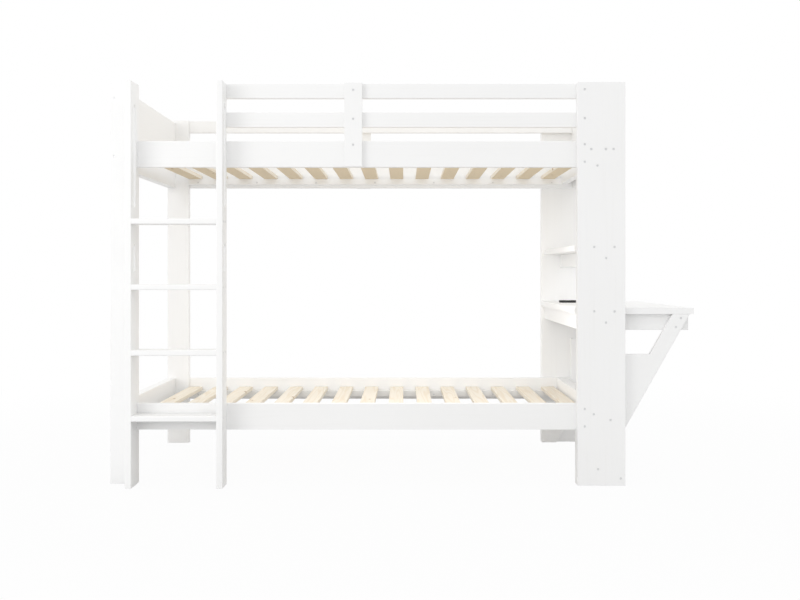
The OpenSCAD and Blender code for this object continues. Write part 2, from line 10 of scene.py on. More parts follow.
import json
import logging
import math
from collections.abc import Iterator, Sequence
from dataclasses import dataclass
from enum import Enum

import bmesh
import bpy
from bmesh.types import BMEdge, BMesh, BMVert
from mathutils import Matrix, Vector

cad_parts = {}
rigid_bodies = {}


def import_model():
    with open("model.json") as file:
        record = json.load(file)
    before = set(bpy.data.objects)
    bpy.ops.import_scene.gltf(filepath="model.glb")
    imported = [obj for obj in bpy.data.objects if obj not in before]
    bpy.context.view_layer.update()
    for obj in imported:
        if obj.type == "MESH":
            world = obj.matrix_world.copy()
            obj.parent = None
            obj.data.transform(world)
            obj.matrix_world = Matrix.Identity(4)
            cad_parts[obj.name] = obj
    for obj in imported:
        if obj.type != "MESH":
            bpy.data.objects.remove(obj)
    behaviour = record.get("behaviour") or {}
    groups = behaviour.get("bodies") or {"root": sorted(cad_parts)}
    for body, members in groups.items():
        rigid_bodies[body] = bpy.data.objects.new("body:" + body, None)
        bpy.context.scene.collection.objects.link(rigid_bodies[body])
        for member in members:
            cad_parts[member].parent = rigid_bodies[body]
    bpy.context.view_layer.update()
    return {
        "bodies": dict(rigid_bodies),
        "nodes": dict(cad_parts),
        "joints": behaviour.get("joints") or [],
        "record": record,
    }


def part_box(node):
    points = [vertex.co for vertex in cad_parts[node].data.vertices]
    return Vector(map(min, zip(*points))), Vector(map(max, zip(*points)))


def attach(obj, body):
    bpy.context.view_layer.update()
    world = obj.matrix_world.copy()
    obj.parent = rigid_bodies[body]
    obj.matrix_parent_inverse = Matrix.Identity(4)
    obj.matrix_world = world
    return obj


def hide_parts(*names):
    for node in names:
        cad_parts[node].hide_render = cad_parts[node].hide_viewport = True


log = logging.getLogger("bunk_bed")

Colour = tuple[float, float, float]
Size = tuple[float, float]
WHITE = (1.0, 1.0, 1.0, 1.0)

# The two bodies.
BED = "bed"
CAP = "cap"

# Face attributes that the finishes read.
EASED = "eased"
# Faces that look down, which the pine paints darker and warmer as painted shade.
UNDERSIDE = "underside"

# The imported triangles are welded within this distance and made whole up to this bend.
WELD_DISTANCE = 1e-5
FLAT_BEND = math.radians(1)

# How far a bracket's two boards are pushed into each other before they are joined.
GLUE_DEPTH = 0.0001

# The part of a normal along an axis from which a face is square, or looks down.
SQUARE = 0.999
DOWNWARD = -0.9

# The bend from which an edge is shaded as a hard one, and how far broad faces rule the shading.
HARD_BEND = math.radians(38)
BROAD_FACE_PULL = 80

# How far a brace rises, and how far it reaches out.
BRACE_RISE = 0.466
BRACE_RUN = 0.264


# ---- Shader maths ----


class Signal:
    """An output socket that can stand in a sum, a product or a mask."""

    def __init__(self, graph: "Graph", socket: bpy.types.NodeSocket) -> None:
        """Keeps the socket and the graph that it belongs to.

        Args:
            graph: The graph in which new nodes are made.
            socket: The output socket.
        """
        self.graph = graph
        self.socket = socket

    def _math(
        self, operation: str, first: "Signal | float", second: "Signal | float" = 0.0
    ) -> "Signal":
        """Adds a Math node.

        Args:
            operation: The node's operation.
            first: Its first value.
            second: Its second value.

        Returns:
            The node's result.
        """
        return self.graph.node("ShaderNodeMath", {"operation": operation}, {0: first, 1: second})

    def __add__(self, other: "Signal | float") -> "Signal":
        """Returns the sum."""
        return self._math("ADD", self, other)

    def __radd__(self, other: float) -> "Signal":
        """Returns the sum with a number in front."""
        return self._math("ADD", other, self)

    def __sub__(self, other: "Signal | float") -> "Signal":
        """Returns the difference."""
        return self._math("SUBTRACT", self, other)

    def __rsub__(self, other: float) -> "Signal":
        """Returns the difference from a number."""
        return self._math("SUBTRACT", other, self)

    def __mul__(self, other: "Signal | float") -> "Signal":
        """Returns the product."""
        return self._math("MULTIPLY", self, other)

    def __rmul__(self, other: float) -> "Signal":
        """Returns the product with a number in front."""
        return self._math("MULTIPLY", other, self)

    def __truediv__(self, other: "Signal | float") -> "Signal":
        """Returns the quotient."""
        return self._math("DIVIDE", self, other)

    def __pow__(self, other: "Signal | float") -> "Signal":
        """Returns the power."""
        return self._math("POWER", self, other)

    def sine(self) -> "Signal":
        """Returns the sine."""
        return self._math("SINE", self)

    def floor(self) -> "Signal":
        """Returns the whole number below."""
        return self._math("FLOOR", self)

    def ramp(self, low: float, high: float) -> "Signal":
        """Turns the stretch between two values into a soft step.

        Args:
            low: The value that becomes 0.
            high: The value that becomes 1. It may be the lower one.

        Returns:
            The step, from 0 to 1.
        """
        return self.graph.node(
            "ShaderNodeMapRange",
            {"interpolation_type": "SMOOTHSTEP"},
            {"Value": self, "From Min": low, "From Max": high},
        )


class Graph:
    """A node tree that is filled node by node."""

    def __init__(self, tree: bpy.types.NodeTree) -> None:
        """Empties the tree.

        Args:
            tree: The node tree of a material or of the world.
        """
        self.tree = tree
        tree.nodes.clear()

    @staticmethod
    def _socket(sockets: Sequence[bpy.types.NodeSocket], key: int | str) -> bpy.types.NodeSocket:
        """Finds a socket.

        Args:
            sockets: A node's inputs or outputs.
            key: The socket's number, identifier or name.

        Returns:
            The socket.
        """
        if isinstance(key, int):
            return sockets[key]
        return next((s for s in sockets if s.identifier == key), None) or sockets[key]

    def node(
        self,
        kind: str,
        settings: dict[str, object] | None = None,
        inputs: dict[int | str, object] | None = None,
        output: int | str = 0,
    ) -> Signal:
        """Adds a node.

        Args:
            kind: The node's type.
            settings: Its settings, set first.
            inputs: Values or signals for its inputs.
            output: The output that is wanted.

        Returns:
            That output.
        """
        node = self.tree.nodes.new(kind)
        for name, value in (settings or {}).items():
            setattr(node, name, value)
        for key, value in (inputs or {}).items():
            socket = self._socket(node.inputs, key)
            if isinstance(value, Signal):
                self.tree.links.new(value.socket, socket)
            else:
                socket.default_value = value
        return Signal(self, self._socket(node.outputs, output) if len(node.outputs) else None)

    def mix(
        self, factor: Signal | float, first: Signal | Colour, second: Signal | Colour
    ) -> Signal:
        """Blends two colours.

        Args:
            factor: The share of the second colour.
            first: The first colour.
            second: The second colour.

        Returns:
            The blend.
        """
        colours = [c if isinstance(c, Signal) else (*c, 1.0) for c in (first, second)]
        return self.node(
            "ShaderNodeMix",
            {"data_type": "RGBA"},
            {"Factor_Float": factor, "A_Color": colours[0], "B_Color": colours[1]},
            "Result_Color",
        )

    def noise(
        self, place: Signal, scale: float, detail: float = 3.0, distortion: float = 0.0
    ) -> Signal:
        """Adds a cloudy pattern.

        Args:
            place: Where the pattern is read.
            scale: Its scale.
            detail: Its number of finer layers.
            distortion: How far it is warped.

        Returns:
            The pattern, around 0.5.
        """
        return self.node(
            "ShaderNodeTexNoise",
            {},
            {"Vector": place, "Scale": scale, "Detail": detail, "Distortion": distortion},
        )

    def object_place(self) -> Signal:
        """Returns the place on the object."""
        return self.node("ShaderNodeTexCoord", output="Object")

    def attribute(self, name: str) -> Signal:
        """Returns a face attribute."""
        return self.node("ShaderNodeAttribute", {"attribute_name": name}, output="Fac")

    def bump(self, height: Signal, strength: float, distance: float) -> Signal:
        """Adds a relief.

        Args:
            height: The relief's height, from 0 to 1.
            strength: How strongly it shows.
            distance: What a height of 1 measures.

        Returns:
            The normal.
        """
        return self.node(
            "ShaderNodeBump", {}, {"Height": height, "Strength": strength, "Distance": distance}
        )


# ---- Finishes ----


class Grain(Enum):
    """Which way a board's grain runs, as the turn of a pattern that lies along X."""

    ALONG_BED = (0.0, 0.0, 0.0)
    ACROSS_BED = (0.0, 0.0, math.radians(90))
    UPRIGHT = (0.0, math.radians(-90), 0.0)
    ALONG_BRACE = (0.0, -math.atan2(BRACE_RISE, BRACE_RUN), 0.0)

    @property
    def direction(self) -> Vector:
        """The unit vector along the grain."""
        _, tilt, turn = self.value
        return Matrix.Rotation(turn, 3, "Z") @ Matrix.Rotation(tilt, 3, "Y") @ Vector((1, 0, 0))

    def stretch(self, graph: Graph, place: Signal, size: Size) -> Signal:
        """Stretches a pattern along the grain.

        Args:
            graph: The graph to add to.
            place: The place on the object.
            size: How long one unit of the pattern is along the grain, and how wide across it.

        Returns:
            The stretched place.
        """
        along, across = size
        return graph.node(
            "ShaderNodeMapping",
            {"vector_type": "TEXTURE"},
            {"Vector": place, "Rotation": self.value, "Scale": (along, across, across)},
        )


@dataclass(frozen=True)
class Finish:
    """What all finishes share: a name in the record and a material that is made once."""

    slot: str = ""

    @property
    def name(self) -> str:
        """The material's name."""
        return self.slot

    def dress(self, graph: Graph, place: Signal) -> dict[str, object]:
        """Says what the surface shader gets.

        Args:
            graph: The graph to add to.
            place: The place on the object.

        Returns:
            Values and signals for the shader's inputs.
        """
        raise NotImplementedError

    def material(self) -> bpy.types.Material:
        """Makes the material when it is first asked for.

        Returns:
            The material.
        """
        found = bpy.data.materials.get("finish_" + self.name)
        if found:
            return found
        material = bpy.data.materials.new("finish_" + self.name)
        material.use_nodes = True
        graph = Graph(material.node_tree)
        inputs = self.dress(graph, graph.object_place())
        surface = graph.node("ShaderNodeBsdfPrincipled", {}, inputs)
        graph.node("ShaderNodeOutputMaterial", {}, {"Surface": surface})
        return material


@dataclass(frozen=True)
class WhitePaint(Finish):
    """Satin white paint, rolled on planed softwood whose grain shows through a little."""

    slot: str = "white_paint"
    grain: Grain = Grain.ALONG_BED
    colour: Colour = (0.925, 0.925, 0.922)
    thin_colour: Colour = (0.900, 0.898, 0.890)
    # The lighter colour of the eased edges is a painted highlight where the rounding catches the
    # light.
    painted_edge_highlight_colour: Colour = (0.945, 0.945, 0.943)
    growth_size: Size = (0.42, 0.009)
    fibre_size: Size = (0.05, 0.0011)
    roller_scale: float = 620.0
    cloud_scale: float = 2.3
    roughness: float = 0.36
    relief_depth: float = 0.0006

    @property
    def name(self) -> str:
        """The material's name, one for each way of the grain."""
        return f"{self.slot}_{self.grain.name.lower()}"

    def dress(self, graph: Graph, place: Signal) -> dict[str, object]:
        """Paints the wood: broad tone, faint grain, roller marks, and eased edges that are
        smoother and painted lighter as a painted highlight.

        Args:
            graph: The graph to add to.
            place: The place on the object.

        Returns:
            Values and signals for the shader's inputs.
        """
        growth = graph.noise(self.grain.stretch(graph, place, self.growth_size), 1.0, 4.0, 0.4)
        fibre = graph.noise(self.grain.stretch(graph, place, self.fibre_size), 1.0, 2.0)
        rolled = graph.noise(place, self.roller_scale, 1.0)
        broad = graph.noise(place, self.cloud_scale, 2.0)
        edge = graph.attribute(EASED)
        thin = growth.ramp(0.52, 0.72) * 0.45 + broad.ramp(0.35, 0.75) * 0.4
        paint = graph.mix(thin, self.colour, self.thin_colour)
        relief = growth * 0.55 + fibre * 0.3 + rolled * 0.15
        return {
            # The eased edges are painted lighter here: a painted highlight on the rounding.
            "Base Color": graph.mix(edge * 0.7, paint, self.painted_edge_highlight_colour),
            "Roughness": self.roughness + fibre * 0.1 + growth * 0.06 - edge * 0.07,
            "Normal": graph.bump(relief, 0.22, self.relief_depth),
            "IOR": 1.46,
        }


@dataclass(frozen=True)
class Pine(Finish):
    """Bare pine with rings, knots, painted shade on the faces that look down, and a tone that
    changes from slat to slat.
    """

    slot: str = "pine"
    grain: Grain = Grain.ACROSS_BED
    first_slat: float = 0.0
    slat_pitch: float = 1.0
    tone_shift: float = 9.0
    slat_shift: float = 0.37
    ring_size: Size = (0.9, 0.05)
    ring_count: float = 52.0
    knot_size: Size = (0.16, 0.085)
    fibre_size: Size = (0.03, 0.0007)
    roughness: float = 0.58
    relief_depth: float = 0.0005
    early_wood: Colour = (0.88, 0.82, 0.715)
    late_wood: Colour = (0.79, 0.68, 0.515)
    knot_colour: Colour = (0.32, 0.17, 0.07)
    honey_colour: Colour = (0.85, 0.745, 0.59)
    # The darker, warmer colour of faces that look down is painted shade.
    painted_underside_shade_colour: Colour = (0.70, 0.565, 0.365)

    def dress(self, graph: Graph, place: Signal) -> dict[str, object]:
        """Draws the rings, the knots, the fibres, painted shade on the underside and each slat's
        own tone.

        Args:
            graph: The graph to add to.
            place: The place on the object.

        Returns:
            Values and signals for the shader's inputs.
        """
        x = graph.node("ShaderNodeSeparateXYZ", {}, {"Vector": place}, "X")
        slat = ((x - self.first_slat) / self.slat_pitch).floor()
        tone = graph.node(
            "ShaderNodeTexWhiteNoise", {"noise_dimensions": "1D"}, {"W": slat}, "Value"
        )
        shift = graph.node(
            "ShaderNodeCombineXYZ", {}, {"Y": tone * self.tone_shift, "Z": slat * self.slat_shift}
        )
        shifted = graph.node("ShaderNodeVectorMath", {"operation": "ADD"}, {0: place, 1: shift})
        ring_place = self.grain.stretch(graph, shifted, self.ring_size)
        rings = (graph.noise(ring_place, 1.0, 1.5, 0.3) * self.ring_count).sine() * 0.5 + 0.5
        knot_place = self.grain.stretch(graph, shifted, self.knot_size)
        cell = graph.node(
            "ShaderNodeTexVoronoi",
            {"feature": "F1"},
            {"Vector": knot_place, "Scale": 1.0, "Randomness": 1.0},
            "Distance",
        )
        knot = cell.ramp(0.095, 0.055)
        halo = cell.ramp(0.24, 0.06)
        fibre = graph.noise(self.grain.stretch(graph, shifted, self.fibre_size), 1.0, 2.0)
        late = rings ** 2.2 * 0.62 + fibre.ramp(0.45, 0.8) * 0.25 + halo * 0.35
        wood = graph.mix(late, self.early_wood, self.late_wood)
        planed = graph.mix(tone * 0.22, wood, self.honey_colour)
        # Faces that look down get painted shade: darker and warmer than the wood above them.
        wood_with_painted_shade = graph.mix(graph.attribute(UNDERSIDE) * 0.8, planed, self.painted_underside_shade_colour)
        return {
            "Base Color": graph.mix(knot * 0.85, wood_with_painted_shade, self.knot_colour),
            "Roughness": self.roughness + fibre * 0.14 - rings * 0.06,
            "Normal": graph.bump(rings * 0.4 + fibre * 0.6, 0.35, self.relief_depth),
            "IOR": 1.45,
        }


@dataclass(frozen=True)
class DowelWood(Finish):
    """Beech of the dowels, with short dark flecks."""

    slot: str = "dowel_wood"
    colour: Colour = (0.66, 0.46, 0.29)
    fleck_colour: Colour = (0.43, 0.26, 0.14)
    fleck_size: Size = (0.006, 0.0012)
    pore_scale: float = 1800.0
    roughness: float = 0.55
    relief_depth: float = 0.0002

    def dress(self, graph: Graph, place: Signal) -> dict[str, object]:
        """Scatters the flecks and the pores.

        Args:
            graph: The graph to add to.
            place: The place on the object.

        Returns:
            Values and signals for the shader's inputs.
        """
        fleck_place = Grain.ALONG_BED.stretch(graph, place, self.fleck_size)
        fleck = graph.noise(fleck_place, 1.0, 2.0)
        pore = graph.noise(place, self.pore_scale, 1.0)
        return {
            "Base Color": graph.mix(fleck.ramp(0.5, 0.72) * 0.6, self.colour, self.fleck_colour),
            "Roughness": self.roughness + pore * 0.15,
            "Normal": graph.bump(pore, 0.3, self.relief_depth),
        }


@dataclass(frozen=True)
class ScrewSteel(Finish):
    """Zinc-plated steel with the faint cloudiness of its passivation."""

    slot: str = "screw_steel"
    colour: Colour = (0.78, 0.785, 0.79)
    stain: Colour = (0.68, 0.685, 0.69)
    cloud_scale: float = 420.0
    scratch_size: Size = (0.004, 0.0002)
    roughness: float = 0.26
    relief_depth: float = 0.00004

    def dress(self, graph: Graph, place: Signal) -> dict[str, object]:
        """Clouds the plating and roughens it here and there.

        Args:
            graph: The graph to add to.
            place: The place on the object.

        Returns:
            Values and signals for the shader's inputs.
        """
        cloud = graph.noise(place, self.cloud_scale, 3.0)
        scratch_place = Grain.ALONG_BED.stretch(graph, place, self.scratch_size)
        scratch = graph.noise(scratch_place, 1.0, 2.0)
        return {
            "Base Color": graph.mix(cloud.ramp(0.4, 0.7), self.colour, self.stain),
            "Metallic": 1.0,
            "Roughness": self.roughness + cloud * 0.2 + scratch * 0.1,
            "Normal": graph.bump(scratch, 0.2, self.relief_depth),
        }


@dataclass(frozen=True)
class BlackPlastic(Finish):
    """Matte black moulded plastic with a fine spark-eroded grain."""

    slot: str = "black_plastic"
    colour: Colour = (0.017, 0.017, 0.019)
    worn_colour: Colour = (0.04, 0.04, 0.043)
    grain_scale: float = 2600.0
    haze_scale: float = 60.0
    roughness: float = 0.42
    relief_depth: float = 0.0001

    def dress(self, graph: Graph, place: Signal) -> dict[str, object]:
        """Grains the plastic and lets its rims shine a little from touch.

        Args:
            graph: The graph to add to.
            place: The place on the object.

        Returns:
            Values and signals for the shader's inputs.
        """
        grain = graph.noise(place, self.grain_scale, 2.0)
        haze = graph.noise(place, self.haze_scale, 3.0)
        edge = graph.attribute(EASED)
        worn = haze.ramp(0.4, 0.8) * 0.4 + edge * 0.4
        return {
            "Base Color": graph.mix(worn, self.colour, self.worn_colour),
            "Roughness": self.roughness + grain * 0.14 + haze * 0.08 - edge * 0.1,
            "Normal": graph.bump(grain, 0.3, self.relief_depth),
        }


# ---- Objects and meshes ----


def scene_object(name: str, data: bpy.types.ID) -> bpy.types.Object:
    """Puts a mesh, a lamp or a camera in the scene.

    Args:
        name: The object's name.
        data: What it holds.

    Returns:
        The object, at the origin.
    """
    made = bpy.data.objects.new(name, data)
    bpy.context.scene.collection.objects.link(made)
    return made


def stored(name: str, work: BMesh) -> bpy.types.Mesh:
    """Turns a mesh that was worked on into one that an object can hold.

    Args:
        name: The new mesh's name.
        work: The mesh that was worked on, which is freed.

    Returns:
        The new mesh.
    """
    mesh = bpy.data.meshes.new(name)
    work.to_mesh(mesh)
    work.free()
    return mesh


def with_modifiers(loose: bpy.types.Object) -> bpy.types.Mesh:
    """Returns a new mesh of an object as its modifiers leave it."""
    depsgraph = bpy.context.evaluated_depsgraph_get()
    return bpy.data.meshes.new_from_object(loose.evaluated_get(depsgraph))


def discard(loose: bpy.types.Object) -> None:
    """Removes an object and its mesh.

    Args:
        loose: An object that was made to work on.
    """
    mesh = loose.data
    bpy.data.objects.remove(loose)
    bpy.data.meshes.remove(mesh)


# ---- Joinery ----


@dataclass(frozen=True)
class Easing:
    """How the edges of a board are rounded over."""

    long_edges: float = 0.0028
    ends: float = 0.0007
    segments: int = 3
    shortest: float = 0.0009
    sharp: float = math.radians(35)

    @property
    def widest(self) -> float:
        """The width up to which a slanting face is a rounded edge."""
        return 1.2 * self.long_edges

    def is_outline(self, edge: BMEdge) -> bool:
        """Tells an edge of the board's outline from a flat edge and from the rim of a screw hole.

        Args:
            edge: An edge of the merged board.

        Returns:
            True for an edge to be eased.
        """
        return (
            len(edge.link_faces) == 2
            and edge.calc_length() > self.shortest
            and edge.calc_face_angle() > self.sharp
        )

    def share(self, edge: BMEdge, grain: Vector, low: float, high: float) -> float:
        """Works out how much of the full radius an edge gets.

        Args:
            edge: An edge of the outline.
            grain: The direction of the grain.
            low: Where the board starts along its grain.
            high: Where it ends.

        Returns:
            1 for a long edge or the rim of a slot, and less at the sawn ends.
        """
        along = [grain.dot(v.co) for v in edge.verts]
        at_end = any(all(abs(a - limit) < self.shortest for a in along) for limit in (low, high))
        return self.ends / self.long_edges if at_end else 1.0


def merged(source: bpy.types.Object) -> BMesh:
    """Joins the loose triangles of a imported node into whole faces.

    Args:
        source: The node's object.

    Returns:
        A new mesh of flat faces, which the caller frees.
    """
    mesh = bmesh.new()
    mesh.from_mesh(source.data)
    bmesh.ops.remove_doubles(mesh, verts=mesh.verts, dist=WELD_DISTANCE)
    bmesh.ops.dissolve_limit(mesh, angle_limit=FLAT_BEND, verts=mesh.verts, edges=mesh.edges)
    return mesh


def united(name: str, right: bpy.types.Object, left: bpy.types.Object) -> bpy.types.Object:
    """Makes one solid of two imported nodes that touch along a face.

    Args:
        name: The name of the solid.
        right: The object of the node at the right.
        left: The object of the node at the left, which is glued to it.

    Returns:
        A loose object, which the caller discards.
    """
    holders = []
    for source, shift in ((right, 0.0), (left, GLUE_DEPTH)):
        work = merged(source)
        bmesh.ops.translate(work, verts=work.verts, vec=(shift, 0.0, 0.0))
        label = source.name + "_whole"
        holders.append(scene_object(label, stored(label, work)))
    glue = holders[0].modifiers.new("glue", "BOOLEAN")
    glue.operation = "UNION"
    glue.solver = "EXACT"
    glue.object = holders[1]
    joined = with_modifiers(holders[0])
    for holder in holders:
        discard(holder)
    return scene_object(name, joined)


def islands(mesh: BMesh) -> Iterator[list[BMVert]]:
    """Walks through the separate solids of a mesh.

    Args:
        mesh: The mesh.

    Yields:
        The vertices of each solid.
    """
    seen: set[BMVert] = set()
    for start in mesh.verts:
        if start in seen:
            continue
        seen.add(start)
        found, waiting = [start], [start]
        while waiting:
            vert = waiting.pop()
            for edge in vert.link_edges:
                other = edge.other_vert(vert)
                if other not in seen:
                    seen.add(other)
                    found.append(other)
                    waiting.append(other)
        yield found


def mark_faces(mesh: bpy.types.Mesh, widest: float) -> None:
    """Marks rounded faces and undersides, smooths the shading and keeps the hard edges.

    Args:
        mesh: The finished mesh.
        widest: The width up to which a slanting face counts as part of a rounded edge.
    """
    work = bmesh.new()
    work.from_mesh(mesh)
    for name in (EASED, UNDERSIDE):
        work.faces.layers.float.new(name)
    eased, below = (work.faces.layers.float[name] for name in (EASED, UNDERSIDE))
    for face in work.faces:
        face.smooth = True
        square = max(abs(n) for n in face.normal) > SQUARE
        longest = max(edge.calc_length() for edge in face.edges)
        face[eased] = 0.0 if square or face.calc_area() / longest > widest else 1.0
        face[below] = 1.0 if face.normal.z < DOWNWARD else 0.0
    for edge in work.edges:
        edge.smooth = len(edge.link_faces) == 2 and edge.calc_face_angle() < HARD_BEND
    work.to_mesh(mesh)
    work.free()


def new_piece(
    name: str, mesh: bpy.types.Mesh, finish: Finish, body: str, *nodes: str
) -> bpy.types.Object:
    """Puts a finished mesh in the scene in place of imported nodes.

    Args:
        name: The piece's name.
        mesh: Its mesh, which holds its place.
        finish: Its finish.
        body: The body that it rides on.
        nodes: The nodes that it stands for.

    Returns:
        The piece.
    """
    piece = scene_object(name, mesh)
    mesh.materials.clear()
    mesh.materials.append(finish.material())
    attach(piece, body)
    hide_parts(*nodes)
    log.info("%s: %d faces, stands for %s", name, len(mesh.polygons), ", ".join(nodes))
    return piece


def eased_board(
    source: bpy.types.Object,
    finish: Finish,
    grain: Vector,
    easing: Easing,
    body: str = BED,
    nodes: tuple[str, ...] = (),
) -> bpy.types.Object:
    """Makes a copy of a board with rounded edges.

    Args:
        source: A node's object, or a loose one.
        finish: The finish of the piece.
        grain: The direction of its grain.
        easing: How its edges are rounded.
        body: The body that it rides on.
        nodes: The nodes that it stands for, if the source isn't a node's object.

    Returns:
        The piece, which stands for the nodes.
    """
    work = merged(source)
    weight = work.edges.layers.float.new("bevel_weight_edge")
    for verts in islands(work):
        along = [grain.dot(v.co) for v in verts]
        low, high = min(along), max(along)
        for edge in {e for v in verts for e in v.link_edges}:
            if easing.is_outline(edge):
                edge[weight] = easing.share(edge, grain, low, high)
    label = source.name + "_rough"
    rough = scene_object(label, stored(label, work))
    router = rough.modifiers.new("router", "BEVEL")
    router.limit_method = "WEIGHT"
    router.width = easing.long_edges
    router.segments = easing.segments
    router.use_clamp_overlap = False
    router.profile = 0.5
    finished = with_modifiers(rough)
    discard(rough)
    finished.name = source.name + "_eased"
    mark_faces(finished, easing.widest)
    piece = new_piece(finished.name, finished, finish, body, *(nodes or (source.name,)))
    normals = piece.modifiers.new("flat_faces_first", "WEIGHTED_NORMAL")
    normals.keep_sharp = True
    normals.weight = BROAD_FACE_PULL
    return piece


# ---- Sub-assemblies ----


@dataclass
class BoardWork:
    """Sub-assembly of boards: the nodes that it dresses, by the way of their grain."""

    frame: dict
    easing: Easing = Easing()

    def boards(self) -> dict[Grain, list[str]]:
        """Lists the boards by their grain."""
        raise NotImplementedError

    def build(self) -> None:
        """Eases and paints every board."""
        for grain, names in self.boards().items():
            paint = WhitePaint(grain=grain)
            for name in names:
                eased_board(self.frame["nodes"][name], paint, grain.direction, self.easing)


@dataclass
class Posts(BoardWork):
    """The four posts and the two centre uprights."""

    def boards(self) -> dict[Grain, list[str]]:
        """Lists the posts and the uprights."""
        return {
            Grain.UPRIGHT: [
                "front_left_post", "rear_left_post", "front_right_post", "rear_right_post",
                "front_upright", "rear_upright",
            ]
        }


@dataclass
class Bunks(BoardWork):
    """The side rails, end rails, end boards, guard rails and ledgers of both bunks."""

    def boards(self) -> dict[Grain, list[str]]:
        """Lists the boards that lie along the bed and across it."""
        return {
            Grain.ALONG_BED: [
                "front_upper_rail", "rear_upper_rail", "front_lower_rail", "rear_lower_rail",
                "top_guard_rail", "middle_guard_rail", "rear_guard_rail",
                "front_upper_ledger", "rear_upper_ledger",
                "front_lower_ledger", "rear_lower_ledger",
            ],
            Grain.ACROSS_BED: [
                "headboard", "lower_left_end_board", "upper_right_end_board",
                "upper_right_end_rail", "lower_right_end_rail", "lower_end_facing",
            ],
        }


@dataclass
class SlatDecks:
    """The two decks of bare pine slats, one straight above the other."""

    frame: dict
    easing: Easing = Easing(long_edges=0.0022, ends=0.0006)
    slats: int = 15
    slat_width: float = 0.065

    def build(self) -> None:
        """Eases the slats and gives each its own figure."""
        low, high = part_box("upper_slats")
        pitch = (high.x - low.x - self.slat_width) / (self.slats - 1)
        pine = Pine(first_slat=low.x - (pitch - self.slat_width) / 2, slat_pitch=pitch)
        for name in ("upper_slats", "lower_slats"):
            eased_board(self.frame["nodes"][name], pine, pine.grain.direction, self.easing)


@dataclass
class Ladder(BoardWork):
    """The ladder's two stiles and four rungs."""

    easing: Easing = Easing(long_edges=0.0035)

    def boards(self) -> dict[Grain, list[str]]:
        """Lists the stiles and the rungs."""
        return {
            Grain.UPRIGHT: ["left_stile", "right_stile"],
            Grain.ALONG_BED: ["rung_1", "rung_2", "rung_3", "rung_4"],
        }


@dataclass
class Desk(BoardWork):
    """The desk top with its aprons, cross rail, foot blocks and brackets."""

    def boards(self) -> dict[Grain, list[str]]:
        """Lists the desk's single boards."""
        return {
            Grain.ACROSS_BED: ["desk_top", "inner_apron", "outer_apron", "desk_cross_rail"],
            Grain.ALONG_BED: ["front_apron", "rear_apron"],
            Grain.UPRIGHT: ["front_foot_block", "rear_foot_block"],
        }

    def build(self) -> None:
        """Eases and paints the boards, and each bracket as one board of brace and gusset."""
        super().build()
        grain = Grain.ALONG_BRACE
        for side in ("front", "rear"):
            nodes = (side + "_brace", side + "_gusset")
            bracket = united(side + "_bracket", *(self.frame["nodes"][node] for node in nodes))
            paint = WhitePaint(grain=grain)
            eased_board(bracket, paint, grain.direction, self.easing, nodes=nodes)
            discard(bracket)


@dataclass
class Shelf(BoardWork):
    """The shelf and the rail under it."""

    def boards(self) -> dict[Grain, list[str]]:
        """Lists the shelf's boards."""
        return {Grain.ACROSS_BED: ["shelf", "shelf_cross_rail"]}


@dataclass
class Grommet:
    """The cable grommet: a sleeve in the desk top and a cap that turns in it."""

    frame: dict
    easing: Easing = Easing(long_edges=0.0011, ends=0.0011, segments=4)

    def build(self) -> None:
        """Rounds the rims of both."""
        up = Vector((0, 0, 1))
        eased_board(self.frame["nodes"]["grommet_sleeve"], BlackPlastic(), up, self.easing)
        eased_board(self.frame["nodes"]["grommet_cap"], BlackPlastic(), up, self.easing, CAP)


@dataclass(frozen=True)
class ScrewShape:
    """A flat-headed screw with a hex socket, pointing down from its head's top at zero.

    Its rim, its socket's radius and the socket's depth are shares of the head, the socket's
    floor is a share of its mouth, and the tip is a share of the shank.
    """

    head_radius: float
    head_height: float
    shank_radius: float
    length: float
    sides: int = 24
    socket_sides: int = 6
    rim: float = 0.07
    socket: float = 0.42
    socket_depth: float = 0.45
    socket_floor: float = 0.96
    tip: float = 0.3

    def add_to(self, target: BMesh, place: Matrix) -> None:
        """Adds the screw to a mesh.

        Args:
            target: The mesh to add to.
            place: Where the top of the head goes, with +Z pointing out of the wood.
        """
        rim = self.head_radius * self.rim
        mouth = self.head_radius * self.socket
        point = -self.length + 2 * self.shank_radius
        rings = [
            self._ring(target, mouth, 0.0, self.socket_sides),
            self._ring(target, self.head_radius - rim, 0.0, self.sides),
            self._ring(target, self.head_radius, -rim, self.sides),
            self._ring(target, self.head_radius, -self.head_height, self.sides),
            self._ring(target, self.shank_radius, -self.head_height, self.sides),
            self._ring(target, self.shank_radius, point, self.sides),
            self._ring(target, self.shank_radius * self.tip, -self.length, self.sides),
        ]
        depth = self.socket_depth * self.head_height
        floor = self._ring(target, mouth * self.socket_floor, -depth, self.socket_sides)
        made = [vert for ring in (floor, *rings) for edge in ring for vert in edge.verts]
        for first, second in zip((floor, *rings), rings):
            bmesh.ops.bridge_loops(target, edges=first + second)
        bmesh.ops.contextual_create(target, geom=floor)
        bmesh.ops.contextual_create(target, geom=rings[-1])
        bmesh.ops.transform(target, matrix=place, verts=list(set(made)))

    @staticmethod
    def _ring(target: BMesh, radius: float, height: float, sides: int) -> list[BMEdge]:
        """Adds one ring of the screw.

        Args:
            target: The mesh to add to.
            radius: The ring's radius.
            height: Its height.
            sides: Its number of sides.

        Returns:
            The ring's edges.
        """
        made = bmesh.ops.create_circle(
            target, segments=sides, radius=radius, matrix=Matrix.Translation((0, 0, height))
        )
        return list({edge for vert in made["verts"] for edge in vert.link_edges})


